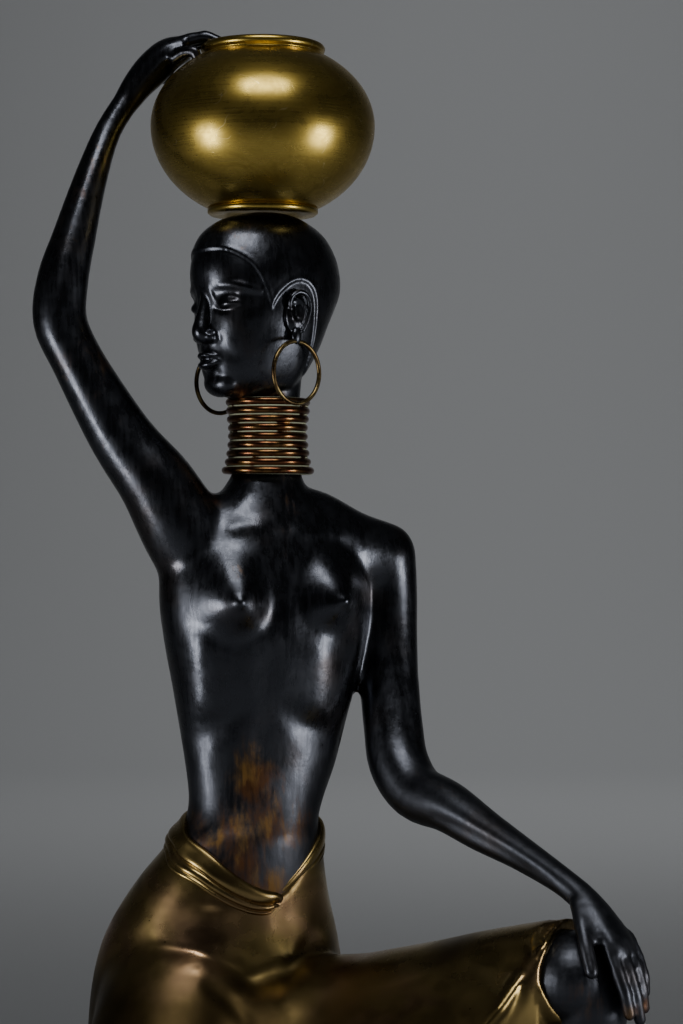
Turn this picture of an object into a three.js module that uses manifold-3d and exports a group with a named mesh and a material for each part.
// Kneeling water bearer: a patinated bronze woman in a polished brass wrap, with a brass jar on her head.
// Millimetres, +Z up. The origin is at the centre of the base's underside, and the figure is seen from -Y.
import * as THREE from "three";
import { ConvexGeometry } from "three/addons/geometries/ConvexGeometry.js";
import { mergeVertices } from "three/addons/utils/BufferGeometryUtils.js";
import Module from "manifold-3d";

const wasm = await Module();
wasm.setup();

// Driving dimensions
const clearance = 0.3;
const base = { length: 524, width: 400, height: 20, corner: 60, edge: 3 };
const standing = base.height + clearance;
const neckAxis = { x: -57, y: 50 };
const bodyTurn = THREE.MathUtils.degToRad(22); // chest and hips face a little to the right
const headTurn = THREE.MathUtils.degToRad(-50); // the head looks to the left
const headTip = 0.045; // and leans towards its right shoulder
const jar = {
  x: -59,
  y: 50,
  foot: 847.5,
  footRadius: 41.4,
  footHeight: 5.5,
  belly: 84,
  bellyZ: 913.8,
  bellyLow: 70, // heights of the two halves of its egg shape
  bellyHigh: 63,
};
const jarRim = { radius: 46.7, bead: 3.4, z: 971.6, neckRadius: 44.5, wall: 3 };
const wire = { radius: 2.9, pitch: 6.4, bottom: 656 };
const ringReach = [34.7, 32.4, 31.2, 30.4, 30, 30, 30.8, 31.5, 31.7]; // outer radius of each neck ring
const hoop = { outer: 24.4, wire: 1.65, turn: THREE.MathUtils.degToRad(-46) };

const finish = {
  bronze: new THREE.MeshStandardMaterial({ color: 0x171312, roughness: 0.28, metalness: 0.85 }),
  brass: new THREE.MeshStandardMaterial({ color: 0xa8873a, roughness: 0.28, metalness: 1 }),
  wrap: new THREE.MeshStandardMaterial({ color: 0x8a6a30, roughness: 0.25, metalness: 1 }),
  copper: new THREE.MeshStandardMaterial({ color: 0x9a6544, roughness: 0.3, metalness: 1 }),
  wood: new THREE.MeshStandardMaterial({ color: 0x15110f, roughness: 0.45, metalness: 0 }),
};

// Geometry to solid and back
function solid(geometry) {
  const bare = (geometry.index ? geometry.toNonIndexed() : geometry).clone();
  bare.deleteAttribute("normal");
  bare.deleteAttribute("uv");
  const merged = mergeVertices(bare, 1e-3);
  return new wasm.Manifold(
    new wasm.Mesh({
      numProp: 3,
      vertProperties: merged.attributes.position.array,
      triVerts: new Uint32Array(merged.index.array),
    }),
  );
}

// Back to geometry, without the crumbs that cuts leave: short edges close up and flat triangles turn
function geometryOf(made, shortest = 0.04) {
  const mesh = made.getMesh();
  const corner = (i) => new THREE.Vector3().fromArray(mesh.vertProperties, i * mesh.numProp);
  const points = Array.from({ length: mesh.numVert }, (_, i) => corner(i));
  const standsFor = points.map((_, i) => i);
  const kept = (i) => (standsFor[i] === i ? i : kept(standsFor[i]));
  const corners = [...mesh.triVerts];
  corners.forEach((a, i) => {
    const b = corners[i % 3 === 2 ? i - 2 : i + 1];
    if (points[a].distanceTo(points[b]) < shortest) {
      standsFor[Math.max(kept(a), kept(b))] = Math.min(kept(a), kept(b));
    }
  });
  const triangles = [];
  for (let i = 0; i < corners.length; i += 3) {
    const triangle = corners.slice(i, i + 3).map(kept);
    if (new Set(triangle).size === 3) triangles.push(triangle);
  }
  turnFlat(triangles, points);
  const geometry = new THREE.BufferGeometry().setFromPoints(points);
  geometry.setIndex(triangles.flat());
  return geometry;
}

// A triangle with hardly any height gives the edge it lies along to its neighbour
function turnFlat(triangles, points, least = 0.01) {
  const owner = new Map();
  const claim = (t) =>
    triangles[t].forEach((a, k) => owner.set(`${a},${triangles[t][(k + 1) % 3]}`, t));
  triangles.forEach((_, t) => claim(t));
  triangles.forEach((triangle, t) => {
    const lengths = triangle.map((a, k) => points[a].distanceTo(points[triangle[(k + 1) % 3]]));
    const k = lengths.indexOf(Math.max(...lengths));
    const [a, b, tip] = [0, 1, 2].map((step) => triangle[(k + step) % 3]);
    const height = new THREE.Line3(points[a], points[b])
      .closestPointToPoint(points[tip], true, new THREE.Vector3())
      .distanceTo(points[tip]);
    const other = owner.get(`${b},${a}`);
    const far = triangles[other].find((c) => c !== a && c !== b);
    if (height >= least || owner.has(`${tip},${far}`) || owner.has(`${far},${tip}`)) return;
    triangles[t] = [a, far, tip];
    triangles[other] = [b, tip, far];
    claim(t);
    claim(other);
  });
}

const union = (...parts) => parts.flat(2).reduce((sum, part) => sum.add(part));

// A closed skin over rings of points, each turning left handed round the way the rings run
function skin(rings) {
  const sides = rings[0].length;
  const points = rings.flat();
  const index = [];
  for (let r = 0; r < rings.length - 1; r++) {
    for (let s = 0; s < sides; s++) {
      const a = r * sides + s;
      const b = r * sides + ((s + 1) % sides);
      index.push(a, b, b + sides, a, b + sides, a + sides);
    }
  }
  const middle = (ring) =>
    ring.reduce((sum, p) => sum.add(p), new THREE.Vector3()).divideScalar(sides);
  const start = points.length;
  points.push(middle(rings[0]), middle(rings.at(-1)));
  const last = (rings.length - 1) * sides;
  for (let s = 0; s < sides; s++) {
    const next = (s + 1) % sides;
    index.push(start, next, s, start + 1, last + s, last + next);
  }
  const geometry = new THREE.BufferGeometry().setFromPoints(points);
  geometry.setIndex(index);
  return solid(geometry);
}

// Rows of numbers, one row a station, blended smoothly at a place from 0 to 1
function blendRows(rows, place) {
  const span = place * (rows.length - 1);
  const i = Math.min(Math.floor(span), rows.length - 2);
  const f = span - i;
  const row = (k) => rows[THREE.MathUtils.clamp(k, 0, rows.length - 1)];
  return rows[i].map((_, n) => {
    const [a, b, c, d] = [-1, 0, 1, 2].map((k) => row(i + k)[n]);
    return b + 0.5 * f * (c - a + f * (2 * a - 5 * b + 4 * c - d + f * (3 * (b - c) + d - a)));
  });
}

// A limb through stations of [x, y, z, half width, half depth]; depth is measured along `deep`
function limb(rows, { sides = 10, steps = 10, deep = [0, 1, 0], grow = 0, round = [0, 0] } = {}) {
  const at = (place) => blendRows(rows, THREE.MathUtils.clamp(place, 0, 1));
  const centre = (place) => new THREE.Vector3(...at(place).slice(0, 3));
  const ringAt = (place, along, size) => {
    const before = centre(Math.max(place - 0.01, 0));
    const tangent = centre(Math.min(place + 0.01, 1)).sub(before).normalize();
    const b = new THREE.Vector3(...deep);
    b.addScaledVector(tangent, -b.dot(tangent)).normalize();
    const a = new THREE.Vector3().crossVectors(b, tangent);
    const [halfWide, halfDeep] = at(place).slice(3).map((half) => (half + grow) * size);
    const middle = centre(place).addScaledVector(tangent, along);
    return Array.from({ length: sides }, (_, s) => {
      const angle = (2 * Math.PI * s) / sides;
      return middle
        .clone()
        .addScaledVector(a, halfWide * Math.cos(angle))
        .addScaledVector(b, halfDeep * Math.sin(angle));
    });
  };
  const rings = Array.from({ length: steps + 1 }, (_, k) => ringAt(k / steps, 0, 1));
  if (round[0]) rings.unshift(ringAt(0, -0.85 * (round[0] + grow), 0.5));
  if (round[1]) rings.push(ringAt(1, 0.85 * (round[1] + grow), 0.5));
  return skin(rings);
}

// A trunk of level sections of [z, x, y, half width, half depth], turned to face `turn`
function trunk(rows, { sides = 18, steps = 9, turn = bodyTurn, grow = 0, square = 2.2 } = {}) {
  const rings = Array.from({ length: steps + 1 }, (_, k) => {
    const [z, x, y, halfWide, halfDeep] = blendRows(rows, k / steps);
    return Array.from({ length: sides }, (_, s) => {
      const angle = (2 * Math.PI * s) / sides;
      const across = Math.sign(Math.cos(angle)) * Math.abs(Math.cos(angle)) ** (2 / square);
      const back = Math.sign(Math.sin(angle)) * Math.abs(Math.sin(angle)) ** (2 / square);
      const [u, v] = [(halfWide + grow) * across, (halfDeep + grow) * back];
      return new THREE.Vector3(
        x + u * Math.cos(turn) - v * Math.sin(turn),
        y + u * Math.sin(turn) + v * Math.cos(turn),
        z,
      );
    });
  });
  return skin(rings);
}

function ball([x, y, z], [rx, ry, rz], turn = 0, detail = [8, 5]) {
  const geometry = new THREE.SphereGeometry(1, ...detail);
  geometry.rotateX(Math.PI / 2).scale(rx, ry, rz).rotateZ(turn).translate(x, y, z);
  return solid(geometry);
}

// A point of the body or head given as [to its left, to its front, up] from a place on its axis
function placed(axis, turn, [left, front, up]) {
  return [
    axis.x + left * Math.cos(turn) + front * Math.sin(turn),
    axis.y + left * Math.sin(turn) - front * Math.cos(turn),
    up,
  ];
}
const onHead = ([left, front, up]) => placed(neckAxis, headTurn, [left, front, up + left * headTip]);
const onBody = (point) => placed({ x: -59, y: 50 }, bodyTurn, point);

// Jar: a hollow spun vessel with a beaded rim and a low foot, grown outwards where room is cut for it
function jarProfile(grow) {
  const points = [];
  const dot = (r, z) => points.push(new THREE.Vector2(r, z));
  const arc = (halfWide, halfHigh, from, to, steps) => {
    for (let k = 0; k <= steps; k++) {
      const angle = from + ((to - from) * k) / steps;
      dot(halfWide * Math.cos(angle), jar.bellyZ + halfHigh * Math.sin(angle));
    }
  };
  const belly = jar.belly + grow;
  const [low, high] = [jar.bellyLow + grow, jar.bellyHigh + grow];
  dot(0, jar.foot - grow);
  dot(jar.footRadius + grow, jar.foot - grow);
  dot(jar.footRadius + grow, jar.foot + jar.footHeight);
  arc(belly, low, -Math.acos((jar.footRadius - 2) / belly), 0, 5);
  const neckAngle = Math.acos(jarRim.neckRadius / belly);
  arc(belly, high, neckAngle / 5, neckAngle, 4);
  const bead = jarRim.bead + grow;
  for (const degrees of [-60, -10, 40, 90]) {
    const angle = THREE.MathUtils.degToRad(degrees);
    dot(jarRim.radius - jarRim.bead + bead * Math.cos(angle), jarRim.z + bead * Math.sin(angle));
  }
  if (grow) {
    dot(0, jarRim.z + bead);
    return points;
  }
  const mouth = jarRim.neckRadius - jarRim.wall - 1.5;
  const [inner, innerLow, innerHigh] = [belly, low, high].map((size) => size - jarRim.wall);
  dot(mouth, jarRim.z);
  arc(inner, innerHigh, Math.acos(mouth / inner), 0, 2);
  arc(inner, innerLow, -0.4, -1, 2);
  dot(0, jar.bellyZ - innerLow * Math.sin(1));
  return points;
}

function jarSolid(grow = 0) {
  const geometry = new THREE.LatheGeometry(jarProfile(grow), 20);
  return solid(geometry.rotateX(Math.PI / 2).translate(jar.x, jar.y, 0));
}

// Torso, shoulders and neck
const torsoRows = [
  [330, -68, 40, 51, 41],
  [362, -66, 40, 48.5, 39],
  [394, -65.6, 41.5, 48, 37.5],
  [428, -61.5, 46, 56, 36.5],
  [462, -59, 48.5, 63, 40],
  [498, -57.5, 49.5, 71, 46.5],
  [534, -57.5, 50, 78, 51],
  [568, -58, 50.5, 81, 50],
  [596, -60, 51, 74, 44.5],
  [620, -60, 51, 54, 36],
  [638, -58, 50.5, 34, 30],
  [650, -56.5, 50, 27.5, 27],
];
const neckRows = [
  [-57, 51, 632, 38, 33],
  [-56, 50, 649, 28, 27],
  [-55.5, 50, 660, 24.5, 24.5],
  [-55, 50, 682, 23, 23],
  [-55.5, 50, 700, 23, 23],
  [-56.5, 50, 714, 24, 24],
  [-57, 50, 745, 27, 27],
];
const torso = trunk(torsoRows, { sides: 16 });
const neck = limb(neckRows, { sides: 12, steps: 5 });
const shoulders = limb(
  [
    [-112, 30, 600, 34, 28],
    [-60, 48, 603, 42, 32],
    [-22, 62, 598, 44, 30],
    [12, 76, 594, 31, 26],
    [35, 84, 591, 26, 24],
  ],
  { sides: 12, steps: 5, round: [14, 22] },
);
const breasts = [-41, 43].map((side) => {
  const rows = [
    [...onBody([side * 0.8, 8, 582]), 34, 36],
    [...onBody([side * 0.94, 34, 570]), 25, 27],
    [...onBody([side, 48, 563]), 17, 17],
    [...onBody([side, 57, 560]), 8.5, 8.5],
    [...onBody([side, 62, 559]), 3.4, 3.4],
  ];
  return limb(rows, { sides: 9, steps: 4, deep: [0, 0, 1], round: [0, 2] });
});

// Raised right arm, from the shoulder over the elbow to the hand on the jar
const raisedArm = limb(
  [
    [-98, 36, 585, 36, 30],
    [-117, 28, 612, 32.5, 30],
    [-136, 22, 645, 28.5, 27],
    [-155, 20, 670, 25, 24],
    [-170, 18, 693, 22.8, 22],
    [-194, 15, 736, 19.5, 20],
    [-207, 14, 766, 20, 19],
    [-205, 17, 797, 19, 18],
    [-198, 22, 826, 16.3, 16],
    [-187, 32, 870, 12.6, 13],
    [-174, 42, 910, 9.9, 10.5],
    [-156, 49, 940, 9.8, 10],
  ],
  { steps: 12, round: [12, 4] },
);
const raisedHand = [
  limb(
    [
      [-162.5, 47.5, 930, 9.6, 9.8],
      [-153, 51, 945, 11.5, 14],
      [-142, 54, 957, 13, 18],
      [-129, 55, 966.5, 11, 20],
      [-120, 55, 970, 7, 19],
    ],
    { sides: 8, steps: 4, round: [4, 4] },
  ),
  ...[
    [4.6, [-127, 38, 962], [-117, 33, 967], [-109, 30, 967], [-106.5, 31, 960]],
    [5, [-124, 46, 969], [-112, 43, 977], [-101, 41, 980], [-91, 41, 976]],
    [5.2, [-122, 57, 971], [-111, 55, 979], [-101, 54, 981], [-91.5, 53, 976]],
    [5, [-122, 68, 971], [-110, 67, 979], [-98, 65, 981], [-90, 63, 976]],
    [5.6, [-143, 68, 955], [-133, 81, 956], [-120, 89, 955], [-108, 94, 952]],
  ].map(finger),
];

// Left arm, down to the hand that lies over the raised knee
const restingArm = limb(
  [
    [8, 74, 595, 29, 25],
    [28, 82, 590, 27.5, 25],
    [34, 85, 568, 24.5, 24],
    [35, 82, 536, 23.5, 23],
    [36, 74, 500, 23, 22],
    [39, 62, 464, 22.5, 21],
    [43, 50, 437, 22.8, 21],
    [56, 33, 417, 21.5, 20],
    [78, 10, 409, 19, 18.5],
    [102, -13, 395, 16, 16],
    [129, -39, 381, 12.2, 13],
    [155, -65, 366, 10, 10.5],
    [168, -78, 356, 10, 10],
  ],
  { steps: 12, round: [14, 4] },
);
const restingHand = [
  limb(
    [
      [165, -74, 361, 9.8, 9.5],
      [174, -82, 352, 12, 10],
      [183, -90, 341, 16, 9],
      [191, -96, 331, 17, 7.5],
      [194, -99, 324, 16, 6],
    ],
    { sides: 8, steps: 4, deep: [0.62, -0.35, 0.7], round: [4, 4] },
  ),
  ...[
    [5.2, [182, -107, 328], [188, -113, 312], [193, -116, 297], [196, -116, 283]],
    [5.4, [189, -102, 328], [196, -108, 311], [201, -110, 294], [204, -108, 278]],
    [5.2, [195, -94, 328], [202, -100, 313], [206, -102, 298], [208, -99, 284]],
    [4.7, [199, -86, 330], [205, -90, 317], [209, -92, 304], [210, -90, 293]],
    [5.8, [167, -90, 350], [165, -105, 337], [168, -115, 322], [171, -120, 309]],
  ].map(finger),
  ball([177, -106, 333], [8, 7, 15]),
];

// A finger, from its radius and the places of its joints
function finger([radius, ...joints]) {
  const rows = joints.map((joint, k) => [...joint, ...Array(2).fill(radius * (1 - 0.07 * k))]);
  return limb(rows, { sides: 5, steps: 3, deep: [0.3, 0.9, 0.3], round: [0, radius * 0.8] });
}

// Head: level egg-shaped sections of [height, front, back, half width], with features laid on
const headRows = [
  [712, 34, 18, 14],
  [716, 47, 26, 22],
  [724, 54, 30, 29],
  [736, 55, 33, 36],
  [750, 56, 38, 41],
  [764, 55, 46, 43.5],
  [778, 57, 55, 45],
  [790, 61, 60, 46],
  [804, 63, 60, 45],
  [818, 61, 56, 41],
  [831, 53, 47, 35],
  [841, 38, 32, 25],
  [847, 14, 12, 11],
];
function headSolid() {
  const [sides, steps] = [14, 10];
  const rings = Array.from({ length: steps + 1 }, (_, k) => {
    const [z, front, back, halfWide] = blendRows(headRows, k / steps);
    return Array.from({ length: sides }, (_, s) => {
      const angle = (2 * Math.PI * s) / sides;
      const reach = Math.sin(angle) > 0 ? back : front;
      const left = halfWide * Math.cos(angle);
      return new THREE.Vector3(...onHead([left, -reach * Math.sin(angle), z]));
    });
  });
  return skin(rings);
}

const nose = limb(
  [
    [...onHead([0, 55, 784]), 3.4, 3],
    [...onHead([0, 59, 770]), 4.4, 4],
    [...onHead([0, 62, 758]), 6.6, 5],
    [...onHead([0, 56, 749]), 7, 4],
  ],
  { sides: 6, steps: 3, deep: [Math.sin(headTurn), -Math.cos(headTurn), 0], round: [2, 2] },
);
const lips = [
  [739.5, 55.5, 10, 4.4, 2.7],
  [734, 54.5, 9, 4.8, 3.2],
].map(([up, front, ...size]) => ball(onHead([0, front, up]), size, headTurn, [6, 4]));
const eyes = [-1, 1].map((way) =>
  ball(onHead([way * 18, 47.5, 777.5]), [10, 7.5, 4.6], headTurn + way * 0.35, [7, 4]),
);
const brows = [-1, 1].map((way) => {
  const run = [
    [5, 58, 786],
    [16, 56.5, 789.5],
    [29, 48, 788],
    [38, 36, 781],
  ];
  const rows = run.map(([left, front, up]) => [...onHead([way * left, front, up]), 2.4, 3]);
  return limb(rows, { sides: 4, steps: 3, deep: [0, 0, 1] });
});

// Hairline: a raised edge that dips before each ear, then arches over it and runs down to the nape
const hairEdges = [
  [[0, 61, 816.5], [18, 59, 816], [33, 45, 808], [39, 35, 793], [41, 27, 774]],
  [[42, 26, 774], [44.5, 20, 784], [46, 6, 791.5], [46, -5, 789], [44.5, -13, 777], [40, -14, 750],
    [32, -15, 729], [0, -28, 724]],
];
function hairline(way) {
  return hairEdges.map((run) => {
    const rows = run.map(([left, front, up]) => [...onHead([way * left, front, up]), 2, 2]);
    return limb(rows, { sides: 3, steps: run.length - 2, deep: [0, 0, 1] });
  });
}

// Ears: an oval rim round a hollow, with a lobe that the hoop hangs through
const lobe = { left: 47, front: 8, up: 750.5 };
function ear(way) {
  const shell = ball(onHead([way * 45.5, 6.5, 769]), [5.2, 9, 17], headTurn, [7, 4]);
  const hollow = ball(onHead([way * 52, 7.5, 772]), [4.6, 5, 9], headTurn, [5, 3]);
  const drop = ball(onHead([way * 46, lobe.front, lobe.up + 1]), [4.2, 5, 7], headTurn, [5, 3]);
  return shell.subtract(hollow).add(drop);
}

// Earrings hang nearly in the plane of the side of the head
function hoopSolid(way, grow = 0) {
  const reach = hoop.outer - hoop.wire;
  const geometry = new THREE.TorusGeometry(reach, hoop.wire + grow, 4, 16);
  geometry.rotateY(Math.PI / 2).rotateZ(hoop.turn);
  const [x, y, z] = onHead([way * lobe.left, lobe.front, lobe.up]);
  return solid(geometry.translate(x, y, z - reach - 2.5));
}

// Left lower leg: knee, shin, ankle and foot flat on the base
const sole = standing;
const shinRows = [
  [166, -83, 300, 28, 30],
  [170, -83, 280, 27, 30],
  [166, -79, 258, 23, 27],
  [163, -74, 225, 21.5, 26],
  [160, -71, 180, 19.5, 23],
  [156, -70, 130, 15.5, 18],
  [152, -70, 85, 12.5, 14.5],
  [151, -70, sole + 30, 14, 17],
  [152, -70, sole + 12, 14, 18],
];
const footRows = [
  [132, -55, sole + 14, 13, 14],
  [152, -70, sole + 22, 15, 22],
  [176, -88, sole + 18, 17, 18],
  [202, -107, sole + 11, 20, 11],
  [222, -122, sole + 7, 21, 7],
  [232, -129, sole + 5.5, 19, 5.5],
];
const toeDirection = [0.8, -0.6];
function lowerLeg(grow = 0) {
  const deep = [...toeDirection, 0];
  const cap = 33 + grow;
  const kneeCap = ball([160, -82, 301.5], [cap, cap, cap], 0, [10, 6]);
  const shin = limb(shinRows, { steps: 8, deep, grow, round: [0, 4] });
  const foot = limb(footRows, { sides: 8, steps: 5, deep: [0, 0, 1], grow, round: [9, 3] });
  return kneeCap.add(shin).add(foot).add(toes([232, -129], toeDirection, grow));
}

// Five toes side by side, from the ball of the foot along the way the foot points
function toes([x, y], [alongX, alongY], grow) {
  const sizes = [
    [15, 14, 5.4],
    [7, 13, 4.6],
    [0, 11, 4.4],
    [-7, 8, 4.2],
    [-13.5, 5, 4],
  ];
  return union(
    sizes.map(([across, reach, radius]) => {
      const rows = [-8, reach / 2, reach].map((along, k) => [
        x - alongY * across + alongX * along,
        y + alongX * across + alongY * along,
        sole + radius + 0.5 - k * 0.5,
        radius,
        radius,
      ]);
      return limb(rows, { sides: 5, steps: 1, deep: [0, 0, 1], grow, round: [0, 2.5] });
    }),
  );
}

// Right foot, heel up on bent toes behind the skirt
const tucked = { x: -118, y: 128 };
function backFoot(grow = 0) {
  const rows = [
    [tucked.x, 92, 128, 17, 20],
    [tucked.x, 116, 122, 16, 19],
    [tucked.x + 1, 134, 96, 14, 17],
    [tucked.x + 2, 139, 66, 12, 19],
    [tucked.x + 3, 137, 42, 11.5, 20],
    [tucked.x + 3, 133, standing + 11.5, 11, 20],
  ];
  const foot = limb(rows, { sides: 8, steps: 4, deep: [1, 0, 0], grow, round: [6, 10.8] });
  return foot.add(toes([tucked.x + 3, 124], [0, -1], grow));
}

// Wrap: hips, both thighs and the cloth that falls to the base
const hipRows = [
  [404, -65.6, 41, 51, 40.5],
  [396, -67, 41, 53, 42],
  [386, -71, 42.5, 57.5, 45.5],
  [376, -73, 44, 60, 48],
  [356, -80.5, 48, 69.5, 55],
  [334, -86.5, 53, 79, 62],
  [311, -90.3, 56.5, 88, 69],
  [289, -92, 58, 93.5, 73],
  [266, -93, 57, 96.5, 75],
  [241, -94, 52, 97, 75],
  [215, -95, 46, 95, 72],
  [190, -96, 40, 88, 66],
].reverse();
const hips = trunk(hipRows, { steps: 8, square: 2.1 });
const leftThigh = limb(
  [
    [-58, 36, 238, 58, 58],
    [12, 12, 247, 53, 55],
    [58, -8, 260, 50, 50],
    [112, -47, 284, 45, 44],
    [156, -79, 304, 39, 37.5],
  ],
  { sides: 12, steps: 5, round: [20, 0] },
);
const rightThigh = limb(
  [
    [-112, 22, 266, 64, 60],
    [-121, -8, 235, 64, 61],
    [-135, -58, 174, 57, 58],
    [-144, -104, 114, 50, 51],
    [-150, -138, 76, 46, 46],
  ],
  { sides: 12, steps: 5, round: [30, 44] },
);

// The cloth hangs taut from the raised knee to the base: an outer fold, which ends in a ridge that runs
// down from the top of the knee, over an inner one
const knee = { x: 156, y: -79, z: 304, across: [-0.58, -0.81] };
function kneeRing(radius, from, to) {
  const points = [];
  for (let degrees = from; degrees <= to; degrees += 22.5) {
    const angle = THREE.MathUtils.degToRad(degrees);
    const [out, up] = [radius * Math.cos(angle), radius * Math.sin(angle)];
    const [acrossX, acrossY] = knee.across;
    points.push(new THREE.Vector3(knee.x + acrossX * out, knee.y + acrossY * out, knee.z + up));
  }
  return points;
}
function tautCloth(points, hem) {
  const low = hem.map(([x, y]) => new THREE.Vector3(x, y, standing));
  return solid(new ConvexGeometry([...points, ...low]));
}
const hipRing = Array.from({ length: 12 }, (_, k) => new THREE.Vector3(...hipPoint(30 * k, 205, -4)));
const ridge = new THREE.Vector3(107, -122, 288);
const outerHem = [
  [-91, -190],
  [-150, -192],
  [-186, -172],
  [-198, -120],
  [-196, 0],
  [-184, 84],
  [-150, 122],
  [-92, 128],
  [-20, 112],
];
const innerHem = [
  [130, -99],
  [60, -126],
  [-60, -160],
  [-20, 108],
  [44, 62],
  [104, -20],
];
const outerFold = tautCloth([...kneeRing(38, 90, 270), ...hipRing, ridge], outerHem);
const innerFold = tautCloth(kneeRing(37, 0, 337.5), innerHem);

// Waistband: its top edge as [angle round the hips, height], dipping to a crossing at the front
const bandEdge = [
  [-270, 404],
  [-225, 402],
  [-185, 396],
  [-155, 386],
  [-125, 373],
  [-90, 351],
  [-77, 346],
  [-48, 374],
  [-20, 389],
  [10, 397],
  [50, 402],
  [90, 404],
];
const crossing = 6;

function hipPoint(degrees, z, out = 0) {
  let [low, high] = [0, 1];
  for (let k = 0; k < 24; k++) {
    const middle = (low + high) / 2;
    if (blendRows(hipRows, middle)[0] < z) low = middle;
    else high = middle;
  }
  const [, x, y, halfWide, halfDeep] = blendRows(hipRows, low);
  const angle = THREE.MathUtils.degToRad(degrees);
  const [u, v] = [(halfWide + out) * Math.cos(angle), (halfDeep + out) * Math.sin(angle)];
  const [cos, sin] = [Math.cos(bodyTurn), Math.sin(bodyTurn)];
  return [x + u * cos - v * sin, y + u * sin + v * cos, z];
}

// Everything of the hips that lies above the band's edge
function aboveBand() {
  const middle = { x: -68, y: 42, z: 386 };
  const ring = (reach, lift) =>
    bandEdge.slice(0, -1).map(([degrees, height]) => {
      const [x, y] = hipPoint(degrees, height);
      const along = (from, to) => from + (to - from) * reach;
      return new THREE.Vector3(
        along(middle.x, x),
        along(middle.y, y),
        lift || along(middle.z, height),
      );
    });
  return skin([ring(0.1), ring(1.5), ring(1.5, 520)]);
}

// Raised rolls of cloth along the band, on the left panel, the right one or round the back
function bandRoll(edge, drop, size, out) {
  const rows = edge.map(([degrees, height]) => [...hipPoint(degrees, height - drop, out), size, size]);
  return limb(rows, { sides: 3, steps: edge.length, deep: [0, 0, 1] });
}

const [leftPanel, rightPanel] = [bandEdge.slice(0, crossing + 1), bandEdge.slice(crossing)];
const rolls = [
  bandRoll(leftPanel, 3, 3.2, -0.6),
  bandRoll(rightPanel, 3, 3.2, -0.6),
  bandRoll(leftPanel.slice(1), 16, 2.8, 0),
  bandRoll(rightPanel.slice(1, 5), 16, 2.4, 0),
];
const cloth = union(hips, leftThigh, rightThigh, outerFold, innerFold).subtract(aboveBand());
const socket = trunk(torsoRows, { sides: 16, grow: 0.5 }).translate([0, 0, -0.3]);
const ground = solid(new THREE.BoxGeometry(900, 900, 400).translate(0, 0, standing - 200));

const parts = {
  base: [baseSolid(), finish.wood],
  skirt: [
    union(cloth, rolls)
      .subtract(socket)
      .subtract(lowerLeg(clearance + 0.2))
      .subtract(backFoot(clearance + 0.2))
      .subtract(ground),
    finish.wrap,
  ],
  left_lower_leg: [lowerLeg().subtract(ground), finish.bronze],
  right_foot: [backFoot().subtract(ground), finish.bronze],
  upper_body: [upperBody(), finish.bronze],
  jar: [jarSolid(), finish.brass],
  left_earring: [hoopSolid(1), finish.brass],
  right_earring: [hoopSolid(-1), finish.brass],
};

function upperBody() {
  const head = union(headSolid(), nose, lips, eyes, brows, ...[1, -1].map(hairline), ear(1), ear(-1));
  return union(torso, neck, shoulders, breasts, raisedArm, raisedHand, restingArm, restingHand, head)
    .subtract(jarSolid(clearance))
    .subtract(lowerLeg(clearance + 0.2))
    .subtract(hoopSolid(1, 0.6))
    .subtract(hoopSolid(-1, 0.6));
}

function baseSolid() {
  const [halfLong, halfWide, corner] = [base.length / 2 - base.edge, base.width / 2 - base.edge, base.corner];
  const outline = new THREE.Shape();
  outline.absarc(halfLong - corner, halfWide - corner, corner, 0, Math.PI / 2);
  outline.absarc(corner - halfLong, halfWide - corner, corner, Math.PI / 2, Math.PI);
  outline.absarc(corner - halfLong, corner - halfWide, corner, Math.PI, Math.PI * 1.5);
  outline.absarc(halfLong - corner, corner - halfWide, corner, Math.PI * 1.5, Math.PI * 2);
  const geometry = new THREE.ExtrudeGeometry(outline, {
    depth: base.height - 2 * base.edge,
    bevelThickness: base.edge,
    bevelSize: base.edge,
    bevelSegments: 1,
    curveSegments: 3,
  });
  return solid(geometry.translate(0, 0, base.edge));
}

const figure = new THREE.Group();
for (const [name, [made, material]] of Object.entries(parts)) {
  const mesh = new THREE.Mesh(geometryOf(made), material);
  mesh.name = name;
  figure.add(mesh);
}
ringReach.forEach((reach, k) => {
  const geometry = new THREE.TorusGeometry(reach - wire.radius, wire.radius, 4, 12);
  const mesh = new THREE.Mesh(geometry, finish.copper);
  mesh.name = `neck_ring_${k + 1}`;
  mesh.position.set(-55.2, neckAxis.y, wire.bottom + k * wire.pitch);
  figure.add(mesh);
});

export default figure;
